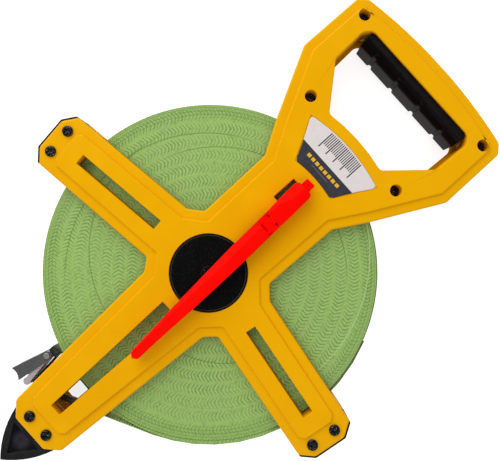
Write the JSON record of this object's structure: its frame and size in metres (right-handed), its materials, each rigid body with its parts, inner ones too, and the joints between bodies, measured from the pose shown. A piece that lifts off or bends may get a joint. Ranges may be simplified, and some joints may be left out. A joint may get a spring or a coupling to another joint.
{
  "type": "open-reel tape measure",
  "caption": "Long tape measure on an open reel, with a three-arm yellow frame, D handle, ground spike, folding crank and end hook.",
  "frame": {"origin": "on the reel's axis, at the flat back face that it rests on", "axes": "+X from the ground spike towards the handle, +Y towards the left side arm, +Z along the reel's axis out of the crank side"},
  "size_m": [0.4545, 0.3254, 0.0489],
  "materials": {
    "yellow_shell": "satin moulded plastic",
    "grip_rubber": "smooth soft rubber",
    "bumper_rubber": "matt rubber",
    "black_plastic": "fine-textured moulded plastic",
    "black_screw": "black zinc",
    "label_film": "printed film, white with a dark band",
    "steel": "plain steel",
    "bush_nylon": "natural nylon",
    "tape_fibreglass": "coated fibreglass tape, seen on its edges",
    "red_plastic": "satin moulded plastic",
    "clip_metal": "dark lacquered steel",
    "hook_steel": "pressed and ground steel"
  },
  "bodies": {
    "frame": {"front_frame": "yellow_shell", "rear_frame": "yellow_shell", "handle_grip": "grip_rubber", "bumper_left": "bumper_rubber", "bumper_right": "bumper_rubber", "ground_spike": "black_plastic", "arm_screws": "black_screw", "handle_screws": "black_screw", "label": "label_film", "guide_posts": "steel", "spindle": "steel", "spindle_washer": "steel", "spindle_screw": "black_screw", "tape_lead": "tape_fibreglass", "end_clip": "clip_metal", "hook_pin": "hook_steel"},
    "reel": {"reel_core": "black_plastic", "hub_bush": "bush_nylon", "hub_disc": "black_plastic", "tape_pack": "tape_fibreglass", "tape_anchor": "steel", "crank_arm": "black_plastic", "crank_screws": "black_screw", "crank_head": "red_plastic", "hinge_pin": "steel"},
    "lever": {"crank_grip": "red_plastic"},
    "lock": {"lock_tab": "red_plastic"},
    "claw": {"hook_claw": "hook_steel"},
    "ring": {"hook_ring": "hook_steel"}
  },
  "joints": [
    {"name": "reel_spin", "type": "hinge", "parent": "frame", "child": "reel", "pos_m": [0, 0, 0.018], "axis": [0, 0, 1], "continuous": true},
    {"name": "crank_fold", "type": "hinge", "parent": "reel", "child": "lever", "pos_m": [0.05818, -0.00266, 0.0446], "axis": [-0.0454, 0.999, 0], "range_deg": [0, 90]},
    {"name": "lock_slide", "type": "slide", "parent": "reel", "child": "lock", "axis": [0.999, 0.0454, 0], "range_m": [-0.004, 0]},
    {"name": "claw_swing", "type": "hinge", "parent": "frame", "child": "claw", "pos_m": [-0.1369, 0.0357, 0.018], "axis": [0, 0, 1], "range_deg": [-90, 0]},
    {"name": "ring_swing", "type": "hinge", "parent": "claw", "child": "ring", "pos_m": [-0.1369, 0.0357, 0.018], "axis": [0, 0, 1], "range_deg": [-20, 0]}
  ]
}
